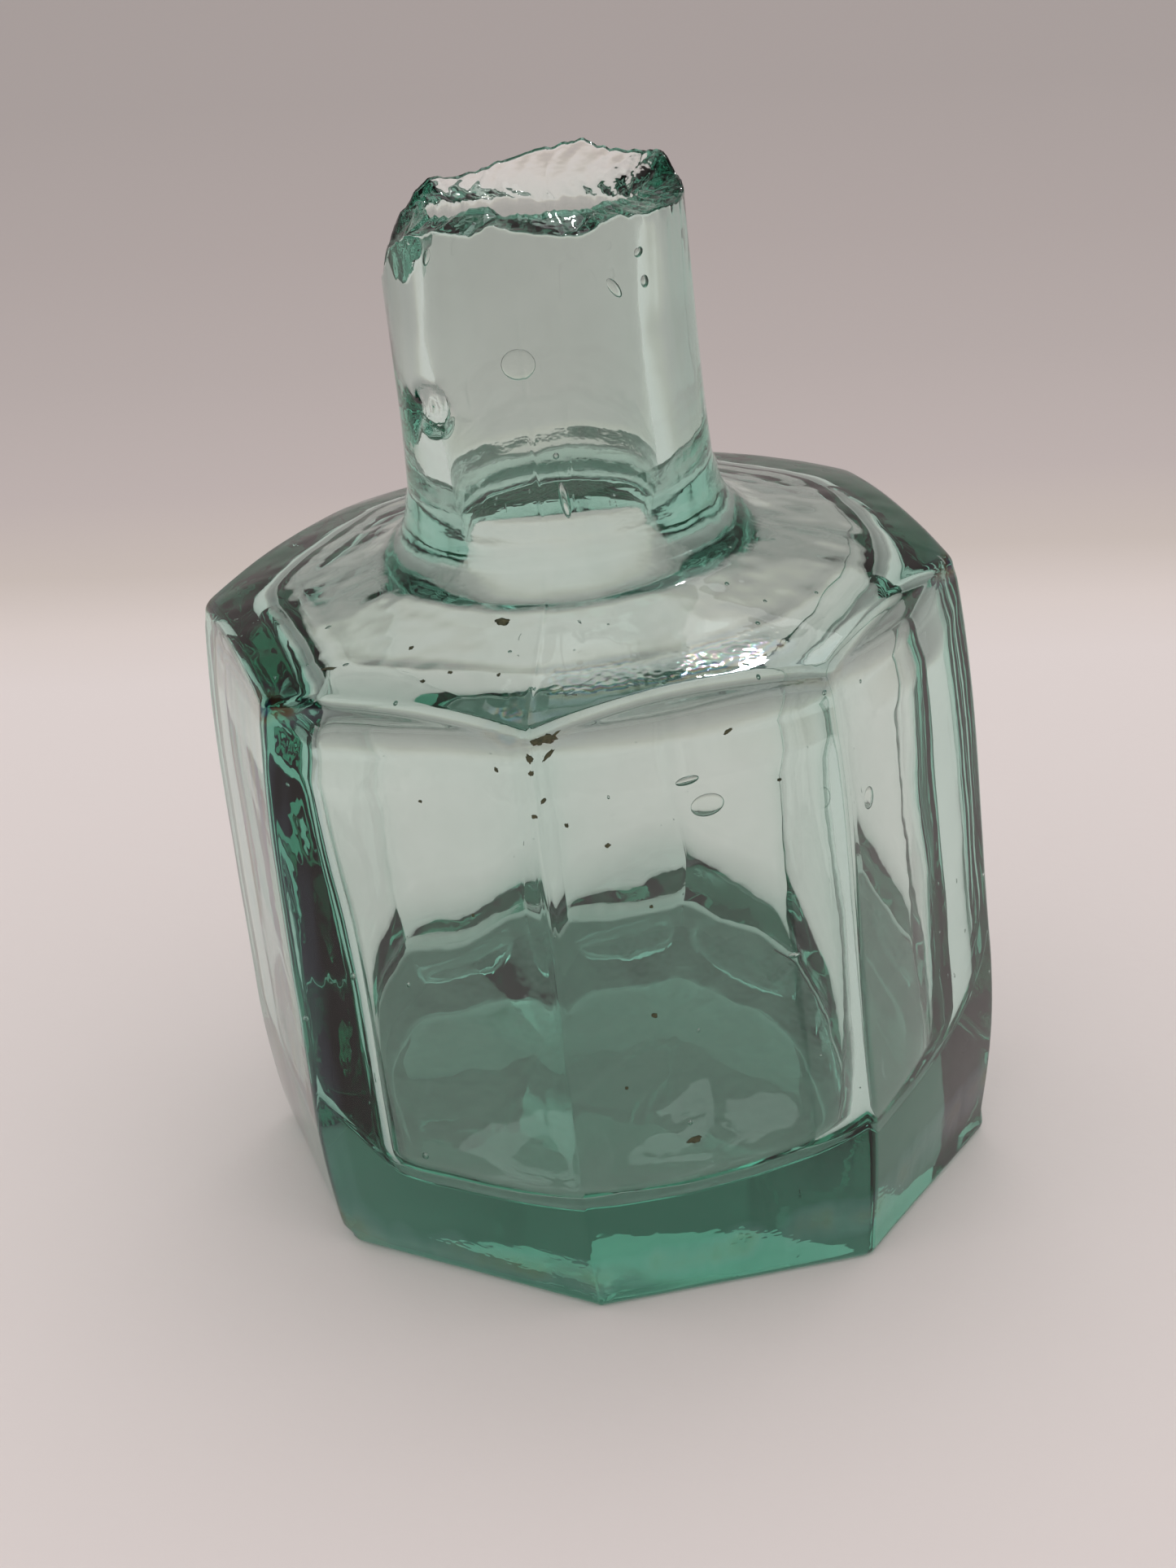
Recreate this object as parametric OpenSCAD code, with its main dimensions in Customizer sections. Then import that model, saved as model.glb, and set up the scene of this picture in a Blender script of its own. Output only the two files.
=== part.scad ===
// Octagonal moulded ink bottle in aqua glass, blown in a two-part mould, with a burst-off lip.
// One piece of glass. Millimetres, +Z up, the origin at the centre of the flat base.
// One panel faces -Y. The body and neck lean together over the level base.

/* [Body] */
// Width across the flats where the body is widest
body_flats = 45.6; // [44.5:0.1:50]
// Width across the flats at the shoulder corners
shoulder_flats = 44.4; // [42:0.1:45.5]
// Width across the flats at the level of the base
base_flats = 43.2; // [40:0.1:45.5]
// Height of the shoulder corners above the base
shoulder_height = 39.1; // [36:0.5:46]
// Height where the panels stop widening from the base
heel_height = 12; // [6:0.5:18]
// Height where the panels start drawing in towards the shoulder
belly_top = 28; // [22:0.5:34]
// How far the moulded corners are rounded off
corner_round = 0.2; // [0.2:0.05:1]

/* [Lean] */
// Tilt of the body and neck from upright, in degrees
lean = 4.2; // [0:0.1:6]
// Direction of the tilt, in degrees from +X
lean_towards = 164; // [0:0.5:359.5]

/* [Shoulder] */
// Slope of the shoulder from the corners to the neck, in degrees
dome_slope = 13; // [4:0.5:14]
// Extra drop of the shoulder at its rolled edge
edge_drop = 0.4; // [0.1:0.1:1]
// Width of the rolled edge
edge_roll = 4; // [2:0.5:6]
// Radius of the fillet where the neck stands on the shoulder
neck_fillet = 2.8; // [0.8:0.1:3]

/* [Neck] */
// Outer diameter of the neck below the break
neck_diameter = 18.7; // [17:0.1:21]
// How much the neck widens, on its radius, down to the shoulder
neck_flare = 0.7; // [0:0.1:1.5]
// Height above the shoulder corners over which the neck widens
flare_height = 14; // [8:0.5:18]
// Diameter of the bore
bore_diameter = 13.4; // [11:0.1:14.6]
// Height of the highest point of the broken lip above the base
lip_height = 65.2; // [60:0.1:72]

/* [Inside] */
// Thickness of the panels
panel_wall = 2.6; // [1.8:0.1:4]
// Thickness of the base at its centre
base_wall = 7.4; // [3:0.1:9]
// Thickness of the shoulder, straight down
shoulder_wall = 2.8; // [2:0.1:4]
// Radius of the rounded edge round the inside floor
floor_round = 2.5; // [2:0.5:6]
// How far the inside corners are rounded off
inner_corner_round = 0.9; // [0.5:0.1:1.2]
// Radius of the rounded edge under the shoulder
ceiling_round = 2.5; // [1:0.5:4]

/* [Chip] */
// Diameter of the shallow chip in the side of the neck
chip_diameter = 4.6; // [2:0.1:6]
// Depth of the chip
chip_depth = 0.55; // [0.2:0.05:0.9]
// Height of the chip above the base
chip_height = 53; // [48:0.5:56]
// Direction of the chip, in degrees from +X
chip_towards = 201; // [0:1:359]

/* [Hidden] */
$fn = 96;

sides = 8;
side_angle = 360 / sides;
corner_scale = 1 / cos(side_angle / 2);
shoulder_radius = shoulder_flats / 2 * corner_scale;
neck_radius = neck_diameter / 2;
bore_radius = bore_diameter / 2;

// Room left past a face by anything that cuts or trims it.
spare = 4;
trim_top = lip_height + spare;

// The break line, as [degrees from +X, mm below the highest point], on each face of the neck wall.
// The back breaks inwards, the side towards the lean has a long outside spall.
outer_break = [
    [0, 1.4], [11, 0.4], [28, 0.7], [41, 0.8], [52, 0.2], [66, 0.6], [84, 1.2], [95, 1.5],
    [106, 1.6], [116, 1.1], [132, 2.5], [147, 4.1], [157, 5.3], [170, 5.3], [181, 4.1],
    [191, 2.3], [205, 1.2], [221, 0.7], [233, 1.0], [242, 0.3], [250, 0.8], [261, 1.2],
    [271, 1.6], [282, 1.1], [287, 0.8], [295, 1.2], [320, 1.6], [345, 1.8], [360, 1.4]
];
inner_break = [
    [0, 2.2], [15, 2.8], [31, 3.1], [52, 3.2], [68, 3.4], [87, 2.9], [102, 2.7], [118, 2.4],
    [132, 1.7], [143, 1.4], [165, 1.1], [191, 0.9], [214, 0.6], [224, 0.1], [236, 0.0],
    [243, 0.6], [250, 0.4], [267, 0.5], [281, 0.8], [299, 0.8], [324, 1.3], [345, 1.7],
    [360, 2.2]
];
break_steps = 72;

// Straight steps used for the curved stretches of the outlines.
panel_steps = 6;
corner_steps = 4;
dome_steps = 10;
arc_steps = 6;
flare_steps = 5;
// Above 1, this crowds the shoulder's steps towards its rolled edge.
dome_crowding = 1.6;

// Distance from the axis to a panel at height z, the wall being taken off it.
function panel_distance(z, inset) =
    body_flats / 2 - inset
    - (z < heel_height ? (body_flats - base_flats) / 2 * pow((heel_height - z) / heel_height, 2) : 0)
    - (z > belly_top
        ? (body_flats - shoulder_flats) / 2
            * pow((min(z, shoulder_height) - belly_top) / (shoulder_height - belly_top), 2)
        : 0);

// Heights at which the panels' outline bends, from low to the shoulder.
function panel_heights(low) = concat(
    [for (i = [0 : panel_steps]) low + (heel_height - low) * i / panel_steps],
    [for (i = [0 : panel_steps]) belly_top + (shoulder_height - belly_top) * i / panel_steps]
);

// Heights at which the rounded corners' outline bends. They fall between those of the panels.
function corner_heights(low) = concat(
    [for (i = [0.5 : corner_steps - 0.5]) low + (heel_height - low) * i / corner_steps],
    [for (i = [0.5 : corner_steps - 0.5]) belly_top + (shoulder_height - belly_top) * i / corner_steps]
);

// Distance from the axis to a corner at height z, rounded off, the wall being taken off the panels.
function corner_distance(z, inset, rounding) = panel_distance(z, inset) * corner_scale - rounding;

// Height of the shoulder's surface at a distance r from the axis.
function dome_height(r) =
    shoulder_height
    + (shoulder_radius - r) * tan(dome_slope)
    + edge_drop * (1 - pow(max(0, 1 - (shoulder_radius - r) / edge_roll), 2));

// Outside radius of the neck at height z.
function neck_outside(z) =
    neck_radius + neck_flare * pow(max(0, 1 - (z - shoulder_height) / flare_height), 2);

// Where the fillet leaves the shoulder and where it joins the neck.
fillet_radius = neck_outside(dome_height(neck_radius)) + neck_fillet;
fillet_base = dome_height(fillet_radius);
fillet_top = fillet_base + neck_fillet;

// Height where the bore leaves the hollow body.
bore_start = dome_height(bore_radius) - shoulder_wall;

// Half an outline, given as [distance, height] points, mirrored into a closed one.
function both_halves(points) = concat(
    points,
    [for (i = [len(points) - 1 : -1 : 0]) [-points[i][0], points[i][1]]]
);

// The panels: opposite pairs share one outline, drawn through the body and crossed with the others.
module crossed_panels(outline) {
    intersection_for (k = [0 : sides / 2 - 1])
        rotate([0, 0, side_angle * k])
            rotate([90, 0, 0])
                linear_extrude(height = 2 * body_flats, center = true)
                    polygon(both_halves(outline));
}

module outer_panels() {
    crossed_panels(concat(
        [for (z = panel_heights(-spare)) [panel_distance(z, 0), z]],
        [[panel_distance(shoulder_height, 0), trim_top]]
    ));
}

// Everything turned on the outside: rounded corners, shoulder, fillet and neck.
module turned_outside() {
    edge_start = shoulder_radius - corner_round;
    rotate_extrude()
        polygon(concat(
            [[0, -spare], [corner_distance(-spare, 0, corner_round), -spare]],
            [for (z = corner_heights(-spare)) [corner_distance(z, 0, corner_round), z]],
            [for (i = [0 : dome_steps])
                let (r = edge_start + (fillet_radius - edge_start) * pow(i / dome_steps, dome_crowding))
                [r, dome_height(r)]],
            [for (i = [1 : arc_steps - 1])
                let (a = 90 * i / arc_steps)
                [fillet_radius - neck_fillet * sin(a), fillet_top - neck_fillet * cos(a)]],
            [for (i = [0 : flare_steps])
                let (z = fillet_top + (shoulder_height + flare_height - fillet_top) * i / flare_steps)
                [neck_outside(z), z]],
            [[neck_radius, trim_top], [0, trim_top]]
        ));
}

module inner_panels() {
    crossed_panels([for (z = panel_heights(-spare)) [panel_distance(z, panel_wall), z]]);
}

// Everything turned on the inside: rounded corners, floor edge, and the underside of the shoulder.
module turned_inside() {
    middle = (heel_height + belly_top) / 2;
    side = corner_distance(middle, panel_wall, inner_corner_round);
    top_side = corner_distance(shoulder_height, panel_wall, inner_corner_round);
    ceiling = dome_height(top_side - ceiling_round) - shoulder_wall;
    rotate_extrude()
        polygon(concat(
            [[0, base_wall]],
            [for (i = [0 : arc_steps])
                let (a = 90 * i / arc_steps)
                [side - floor_round * (1 - sin(a)), base_wall + floor_round * (1 - cos(a))]],
            [[side, middle]],
            [for (i = [0 : arc_steps])
                let (a = 90 * i / arc_steps)
                [top_side - ceiling_round * (1 - cos(a)), ceiling - ceiling_round * (1 - sin(a))]],
            [[bore_radius, bore_start], [0, bore_start]]
        ));
}

// The hollow body, without the bore.
module cavity() {
    intersection() {
        inner_panels();
        turned_inside();
    }
}

module bore() {
    translate([0, 0, bore_start - spare])
        cylinder(h = trim_top - bore_start + 2 * spare, r = bore_radius);
}

// What broke away above the lip, as one solid between the break surface and a flat top.
module broken_away() {
    // The surface runs on past both faces of the wall, at the same slope.
    inside = bore_radius - 1;
    outside = neck_radius + 1.5;
    wall = neck_radius - bore_radius;
    angles = [for (i = [0 : break_steps - 1]) 360 * i / break_steps];
    function inner_level(a) = lip_height - lookup(a, inner_break);
    function outer_level(a) = lip_height - lookup(a, outer_break);
    function level(a, r) =
        inner_level(a) + (outer_level(a) - inner_level(a)) * (r - bore_radius) / wall;
    function ring(r, flat) =
        [for (a = angles) [r * cos(a), r * sin(a), flat ? trim_top + spare : level(a, r)]];
    points = concat(
        ring(inside, false),
        ring(outside, false),
        ring(outside, true),
        [[0, 0, level(0, inside)], [0, 0, trim_top + spare]]
    );
    n = break_steps;
    low_centre = 3 * n;
    high_centre = 3 * n + 1;
    polyhedron(
        points = points,
        faces = concat(
            [for (i = [0 : n - 1]) [low_centre, i, (i + 1) % n]],
            [for (i = [0 : n - 1]) [i, n + i, n + (i + 1) % n]],
            [for (i = [0 : n - 1]) [i, n + (i + 1) % n, (i + 1) % n]],
            [for (i = [0 : n - 1]) [n + i, 2 * n + i, 2 * n + (i + 1) % n]],
            [for (i = [0 : n - 1]) [n + i, 2 * n + (i + 1) % n, n + (i + 1) % n]],
            [for (i = [0 : n - 1]) [2 * n + i, high_centre, 2 * n + (i + 1) % n]]
        )
    );
}

// A shallow scoop out of the side of the neck.
module neck_chip() {
    ball = (pow(chip_diameter / 2, 2) + pow(chip_depth, 2)) / (2 * chip_depth);
    rotate([0, 0, chip_towards])
        translate([neck_outside(chip_height) + ball - chip_depth, 0, chip_height])
            sphere(r = ball);
}

// Tilts its children towards lean_towards about the centre of the base.
module leaning() {
    rotate([0, 0, lean_towards])
        rotate([0, lean, 0])
            rotate([0, 0, -lean_towards])
                children();
}

// The ground the base was pressed flat on.
module below_base() {
    translate([-body_flats, -body_flats, -2 * body_flats])
        cube(2 * body_flats);
}

module bottle() {
    color([0.55, 0.78, 0.72, 0.5])
        difference() {
            leaning()
                difference() {
                    intersection() {
                        outer_panels();
                        turned_outside();
                    }
                    cavity();
                    bore();
                    broken_away();
                    neck_chip();
                }
            below_base();
        }
}

bottle();
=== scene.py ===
"""Looks of the octagonal moulded ink bottle: one skin of aqua glass, its bubbles and its dirt.

The skin is a stack of rings round the axis, worked out upright in millimetres and then leaned over.
"""

import math

import bpy
import numpy as np
from mathutils import Matrix, Vector, noise


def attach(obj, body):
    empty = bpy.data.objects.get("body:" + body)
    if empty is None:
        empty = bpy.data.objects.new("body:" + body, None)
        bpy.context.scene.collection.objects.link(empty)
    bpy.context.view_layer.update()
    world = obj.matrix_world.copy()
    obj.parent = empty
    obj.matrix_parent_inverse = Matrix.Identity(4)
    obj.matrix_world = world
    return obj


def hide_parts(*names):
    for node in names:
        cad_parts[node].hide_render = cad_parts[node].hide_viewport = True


MM = 0.001

# Body sizes in millimetres, before the body leans.
BODY_FLATS = 45.6
SHOULDER_FLATS = 44.4
BASE_FLATS = 43.2
SHOULDER_HEIGHT = 39.1
HEEL_HEIGHT = 12.0
BELLY_TOP = 28.0
LEAN = math.radians(4.2)
LEAN_TOWARDS = math.radians(164.0)

# Shoulder and neck.
DOME_SLOPE = math.radians(13.0)
EDGE_DROP = 0.4
EDGE_ROLL = 4.0
NECK_FILLET = 3.0
NECK_RADIUS = 9.35
NECK_FLARE = 0.7
FLARE_HEIGHT = 14.0
BORE_RADIUS = 6.7
BORE_TAPER = 0.25
LIP_HEIGHT = 65.2

# Inside: a blown hollow, rounder than the mould and a little off centre. Its floor rises to the rear.
PANEL_WALL = 2.6
SHOULDER_WALL = 2.8
BASE_WALL = 7.6
UNDERSIDE_RISE = 0.25
FLOOR_RISE = 1.9
FLOOR_ROUND = 2.6
CEILING_ROUND = 3.4
THROAT_ROUND = 3.4
HOLLOW_SHIFT = (0.4, -0.12)
BORE_SHIFT = (-0.30, 0.09)
REAR = math.radians(74.5)

# One panel's wall is thicker, less so with height: its direction, extra, the share lost and where.
THICK_PANEL = 180.0
THICK_EXTRA = 1.7
THICK_TAPER = 0.65
THICK_FADE = (16.0, 37.0)

# Sharpness of the inner corners, where more is crisper, and how many degrees each kind reaches.
# The rear wall, whose corners are the rear kind, is thinner.
ROUND_CORNERS = 8.5
CRISP_CORNERS = 60.0
CRISP_AT = 202.5
CRISP_SPREAD = 13.0
REAR_CORNERS = 34.0
REAR_AT = math.degrees(REAR) + 15.0
REAR_SPREAD = 75.0
REAR_THINNER = 0.5

# Roundings of the outside edges, how far under the shoulder's height its edge starts, and the room
# that keeps the waves inside the solid's box.
CORNER_RADIUS = 1.1
SHOULDER_EDGE_RADIUS = 1.0
SHOULDER_EDGE_START = 1.4
HEEL_RADIUS = 0.7
SKIN_INSET = 0.14

HALF_SIDE = math.radians(22.5)
SIDE = math.radians(45.0)
SHOULDER_RADIUS = SHOULDER_FLATS / 2 / math.cos(HALF_SIDE)
SEAMS = (67.5, 247.5)
SEAM_WIDTH = 0.16

# The break line, as (degrees from +X, mm below the highest point), on each face of the neck wall.
OUTER_BREAK = (
    (0, 1.4), (11, 0.4), (28, 0.7), (41, 0.8), (52, 0.2), (66, 0.6), (84, 1.2), (95, 1.5),
    (106, 1.6), (116, 1.1), (132, 2.5), (147, 4.1), (157, 5.3), (170, 5.3), (181, 4.1),
    (191, 2.3), (205, 1.2), (221, 0.7), (233, 1.0), (242, 0.3), (250, 0.8), (261, 1.2),
    (271, 1.6), (282, 1.1), (287, 0.8), (295, 1.2), (320, 1.6), (345, 1.8), (360, 1.4),
)
INNER_BREAK = (
    (0, 2.2), (15, 2.8), (31, 3.1), (52, 3.2), (68, 3.4), (87, 2.9), (102, 2.7), (118, 2.4),
    (132, 1.7), (143, 1.4), (165, 1.1), (191, 0.9), (214, 0.6), (224, 0.1), (236, 0.0),
    (243, 0.6), (250, 0.4), (267, 0.5), (281, 0.8), (299, 0.8), (324, 1.3), (345, 1.7),
    (360, 2.2),
)

# How deep the break is dished and its small teeth stand, and the side where it is smoother, with that
# side's half width in degrees.
BREAK_DISH = 0.28
CALM_DISH = 0.08
TEETH = 0.30
FINE_TEETH = 0.22
CALM_BREAK_AT = 252.0
CALM_BREAK_REACH = 62.0

# The bruise in the neck: degrees round, then height, half width, half height and depth in millimetres.
BRUISE_AT = 205.5
BRUISE_HEIGHT = 53.2
BRUISE_WIDE = 2.0
BRUISE_HIGH = 1.7
BRUISE_DEEP = 0.5

# Rows of the neck: their step in millimetres, and the finer one between two heights over the bruise.
NECK_STEP = 0.6
FINE_STEP = 0.30
FINE_FROM = 50.2
FINE_TO = 56.4

# Bubbles in the wall: degrees round, height, distance from the axis, then width, height and
# thickness of the bubble, its tilt in degrees and its depth under the outer face.
BUBBLES = (
    (244.8, 56.2, 9.4, 2.0, 1.9, 0.10, 20, 0.9),
    (285.8, 59.9, 9.4, 0.60, 1.50, 0.16, 35, 0.8),
    (257.0, 47.8, 9.5, 0.60, 2.30, 0.45, 10, 0.6),
    (255.8, 50.4, 9.4, 0.40, 0.45, 0.3, 0, 0.5),
    (211.1, 62.5, 9.4, 0.50, 1.20, 0.2, -20, 0.7),
    (300.1, 60.0, 9.4, 0.60, 0.80, 0.3, 10, 0.7),
    (299.0, 61.6, 9.4, 0.70, 0.60, 0.25, 30, 0.8),
    (270.1, 33.7, 22.5, 1.45, 0.55, 0.25, 8, 1.0),
    (272.2, 32.2, 22.6, 2.05, 1.40, 0.14, 5, 1.1),
    (300.1, 29.9, 23.4, 1.30, 1.40, 0.14, 5, 1.1),
    (283.1, 21.7, 23.3, 0.75, 0.40, 0.25, 0, 0.9),
    (211.9, 21.2, 23.3, 0.40, 0.60, 0.3, 0, 1.0),
    (220.0, 9.0, 22.7, 0.50, 0.50, 0.3, 0, 1.2),
    (265.0, 12.0, 22.8, 0.35, 0.35, 0.3, 0, 1.0),
    (199.0, 12.0, 22.9, 0.55, 0.75, 0.4, 15, 1.0),
)
SEED_COUNT = 80
LARGE_BUBBLE = 0.6

# Rings that count as the outside, for seeds and dirt: from the heel to high on the fillet.
OUTSIDE_RINGS = 90
FIRST_SEED_RING = 8

# Waves of the glass in millimetres: how far apart, then how high the long and short ones are.
LONG_WAVES = 9.0
SHORT_WAVES = 3.2
SKIN_WAVES = (0.040, 0.018)
HOLLOW_WAVES = (0.15, 0.035)
BORE_WAVES = 0.05
BORE_STREAKS = 0.035
DOME_RIPPLES = 0.050
SEAM_HEIGHT = 0.085

# Wear: the scuffed band on the shoulder runs from the seam, as degrees and millimetres in from the corner.
SCUFF_FROM = 248.5
SCUFF_FADE = (38, 46)
SCUFF_INBOARD = 4.2
SCUFF_WIDTH = 1.1
KNOT_AT = 245.0
KNOT_INBOARD = 2.2
HEEL_SCUFF_HEIGHT = 2.6
HEEL_SCUFF_REACH = 1.3
STAIN_AT = 182.0
STAIN_REACH = 14.0

# Crumbs of dirt on the outside: degrees round, height, distance from the axis, then length and width.
DIRT = (
    (237.5, 41.9, 13.5, 0.75, 0.60),
    (220.2, 41.2, 16.9, 0.30, 0.25),
    (232.0, 40.8, 18.5, 0.30, 0.22),
    (241.2, 40.8, 18.5, 0.26, 0.20),
    (227.6, 40.5, 19.6, 0.28, 0.22),
    (241.7, 37.2, 23.2, 0.30, 0.20),
    (248.7, 35.5, 24.0, 0.34, 0.24),
    (251.2, 33.7, 23.8, 0.24, 0.20),
    (256.5, 31.5, 23.2, 0.28, 0.28),
    (276.0, 36.5, 22.4, 0.60, 0.22),
    (249.9, 38.4, 23.6, 0.95, 0.42),
    (249.1, 38.6, 23.6, 0.62, 0.36),
    (250.7, 38.6, 23.5, 0.58, 0.22),
    (248.6, 38.2, 23.8, 0.44, 0.26),
    (249.7, 38.0, 23.8, 0.80, 0.20),
    (251.3, 38.8, 23.3, 0.46, 0.14),
    (247.4, 37.6, 24.0, 0.50, 0.34),
    (247.6, 36.6, 24.1, 0.30, 0.26),
    (247.3, 34.4, 24.2, 0.34, 0.22),
    (264.4, 10.7, 22.8, 0.80, 0.42),
    (260.2, 20.2, 23.0, 0.34, 0.30),
    (207.9, 40.4, 20.0, 0.95, 0.24),
    (283.0, 33.0, 22.9, 0.24, 0.18),
    (262.0, 27.0, 22.8, 0.22, 0.18),
    (255.0, 16.0, 23.0, 0.22, 0.20),
    (236.0, 27.0, 23.2, 0.20, 0.16),
    (229.0, 34.0, 22.5, 0.22, 0.18),
)

# Backdrop: tones as eight-bit values, and how many metres behind the bottle the floor reaches each one.
FLOOR_TONE = (224, 213, 211)
# Past the floor's own tone these are painted shade: the backdrop wall's dimmer light, painted on the flat
# floor.
FLOOR_AND_PAINTED_BACKDROP_SHADE = (
    (0.080, FLOOR_TONE), (0.093, (219, 207, 203)), (0.108, (202, 190, 184)),
    (0.130, (191, 179, 177)), (0.170, (182, 171, 169)), (0.220, (176, 165, 163)),
    (0.300, (170, 160, 158)),
)
BACKDROP_REACH = 0.4
WALL_TONE = (172, 162, 160)
CEILING_TONE = (136, 130, 127)

# Strength of the room's picture away from the backdrop, and of the plain light on surfaces.
ROOM_DARK = 0.5
STUDIO_LIGHT = 0.90

# Lamps: place and aim in metres, then diameter in metres and power in watts.
KEY_LAMP = ((0.13, 0.28, 0.57), (0, 0, 0.03), 0.40, 0.38)
GLINT_LAMP = ((0.14, 0.27, 0.46), (0, 0, 0.04), 0.030, 0.19)

# Camera, in metres: the photo's viewpoint.
CAMERA_AT = (-0.05729, -0.19734, 0.11764)
CAMERA_FORWARD = (0.243888, 0.878376, -0.411065)
CAMERA_UP = (0.146455, 0.385645, 0.910949)
CAMERA_LENS = 80.33
SENSOR = 36.0

# Bump heights in metres: the moulded skin's waves, rubbed glass, and the grain of the break.
SKIN_BUMP = 0.0000075
RUBBED_BUMP = 0.000080
BREAK_BUMP = 0.000018

# Glass: what it absorbs, and the roughness that each kind of wear adds to the smooth skin.
GLASS_COLOUR = (0.10, 0.66, 0.52, 1.0)
GLASS_DENSITY = 53.0
BREAK_ROUGH = 0.03
RUBBED_ROUGH = 0.30
HAZE_ROUGH = 0.22

# Surface tints of the glass: clean, dusty and stained.
CLEAN_TINT = (0.99, 1.0, 0.99, 1.0)
DUSTY_TINT = (0.93, 0.95, 0.93, 1.0)
STAIN_TINT = (0.36, 0.46, 0.45, 1.0)

# The dirt's darkest and palest colours.
DARK_DIRT = (0.014, 0.026, 0.014, 1.0)
PALE_DIRT = (0.110, 0.100, 0.045, 1.0)


def smoothstep(low, high, value):
    t = np.clip((value - low) / (high - low), 0.0, 1.0)
    return t * t * (3 - 2 * t)


def field(points, scale, seed):
    """Smooth noise from -1 to 1 at each point, with features about scale millimetres across."""
    shape = points.shape[:-1]
    shift = Vector((seed * 17.3, seed * 5.1, seed * 9.7))
    size = np.broadcast_to(scale, 3)
    flat = points.reshape(-1, 3) / size
    return np.array([noise.noise(Vector(p) + shift) for p in flat]).reshape(shape)


def column_angles():
    """Columns round the axis: crowded at the eight corners, even over the panels."""
    corner_half = math.radians(1.2)
    corner_steps, panel_steps = 6, 16
    half = [corner_half * i / corner_steps for i in range(corner_steps)]
    half += [corner_half + (HALF_SIDE - corner_half) * i / panel_steps for i in range(panel_steps)]
    sector = half + [HALF_SIDE] + [SIDE - a for a in reversed(half[1:])]
    return np.array([HALF_SIDE + SIDE * k + a for k in range(8) for a in sector])


THETA = column_angles()
COLUMNS = len(THETA)
COS, SIN = np.cos(THETA), np.sin(THETA)
DEGREES = np.degrees(THETA) % 360.0


def turn_from(degrees):
    """Signed angle in degrees from a direction to each column."""
    return (DEGREES - degrees + 180.0) % 360.0 - 180.0


def panel_distance(z, inset):
    """Distance from the axis to a panel at height z, less inset."""
    z = np.asarray(z, dtype=float)
    low = np.clip((HEEL_HEIGHT - z) / HEEL_HEIGHT, 0.0, None)
    high = (np.clip(z, BELLY_TOP, SHOULDER_HEIGHT) - BELLY_TOP) / (SHOULDER_HEIGHT - BELLY_TOP)
    return (
        BODY_FLATS / 2 - inset - SKIN_INSET
        - (BODY_FLATS - BASE_FLATS) / 2 * low ** 2
        - (BODY_FLATS - SHOULDER_FLATS) / 2 * high ** 2
    )


def octagon(flat, rounding):
    """Distance from the axis, at each column, to an octagon with rounded corners."""
    flat = np.broadcast_to(flat, THETA.shape)
    off = np.abs(((THETA - HALF_SIDE) + SIDE / 2) % SIDE - SIDE / 2)
    centre = (flat - rounding) / math.cos(HALF_SIDE)
    end = np.arctan2(rounding * math.sin(HALF_SIDE), centre + rounding * math.cos(HALF_SIDE))
    rounded = centre * np.cos(off) + np.sqrt(
        np.clip(rounding ** 2 - (centre * np.sin(off)) ** 2, 0.0, None))
    return np.where(off < end, rounded, flat / np.cos(HALF_SIDE - off))


def dome_height(r):
    """Height of the shoulder's dome at a distance from the axis, with its edge rolled down."""
    roll = np.clip(1 - (SHOULDER_RADIUS - r) / EDGE_ROLL, 0.0, None)
    cone = (SHOULDER_RADIUS - r) * math.tan(DOME_SLOPE)
    return SHOULDER_HEIGHT + cone + EDGE_DROP * (1 - roll ** 2)


def dome_angle(r):
    """Slope of the dome at a distance from the axis."""
    step = 0.01
    return np.arctan2(dome_height(r - step) - dome_height(r + step), 2 * step)


def neck_outside(z):
    """Radius of the neck's outside at height z, wider towards the shoulder."""
    flare = np.clip(1 - (z - SHOULDER_HEIGHT) / FLARE_HEIGHT, 0.0, None) ** 2
    return NECK_RADIUS + NECK_FLARE * flare


FILLET_RADIUS = float(neck_outside(dome_height(NECK_RADIUS))) + NECK_FILLET
FILLET_BASE = float(dome_height(FILLET_RADIUS))
FILLET_SLOPE = float(dome_angle(FILLET_RADIUS))
FILLET_ARC = NECK_FILLET / (1 - math.sin(FILLET_SLOPE))
FILLET_TOP = FILLET_BASE + FILLET_ARC * math.cos(FILLET_SLOPE)
THROAT_RADIUS = BORE_RADIUS - BORE_TAPER
THROAT_END = THROAT_RADIUS + THROAT_ROUND
THROAT_BASE = float(dome_height(THROAT_END)) - SHOULDER_WALL
THROAT_TOP = THROAT_BASE + THROAT_ROUND


def break_level(table, seed):
    """Height of the break at each column: the table's line, softened, with fine teeth."""
    degrees, drops = zip(*table)
    even = np.arange(0.0, 360.0, 0.5)
    line = np.interp(even, degrees, drops)
    blur = np.hanning(9)[1:-1]
    blur /= blur.sum()
    line = np.convolve(np.concatenate([line[-10:], line, line[:10]]), blur, "same")[10:-10]
    line = np.interp(DEGREES, even, line, period=360.0)
    around = np.stack([9 * COS, 9 * SIN, 0 * COS], axis=1)
    teeth = TEETH * np.abs(field(around, 1.3, seed))
    fine_teeth = FINE_TEETH * np.abs(field(around, 0.5, seed + 1))
    return LIP_HEIGHT - line - (teeth + fine_teeth)


def calm_side():
    """One at each column on the smoother side of the break, fading to zero beyond it."""
    return np.exp(-(turn_from(CALM_BREAK_AT) / CALM_BREAK_REACH) ** 6)


class Rings:
    """Rings of the skin in order, each with its radius and height at every column."""

    def __init__(self):
        self.radius, self.height, self.kind, self.step = [], [], [], []

    def add(self, radius, height, kind, step=0.0):
        self.radius.append(np.broadcast_to(radius, THETA.shape))
        self.height.append(np.broadcast_to(height, THETA.shape))
        self.kind.append(kind)
        self.step.append(step)


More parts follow.
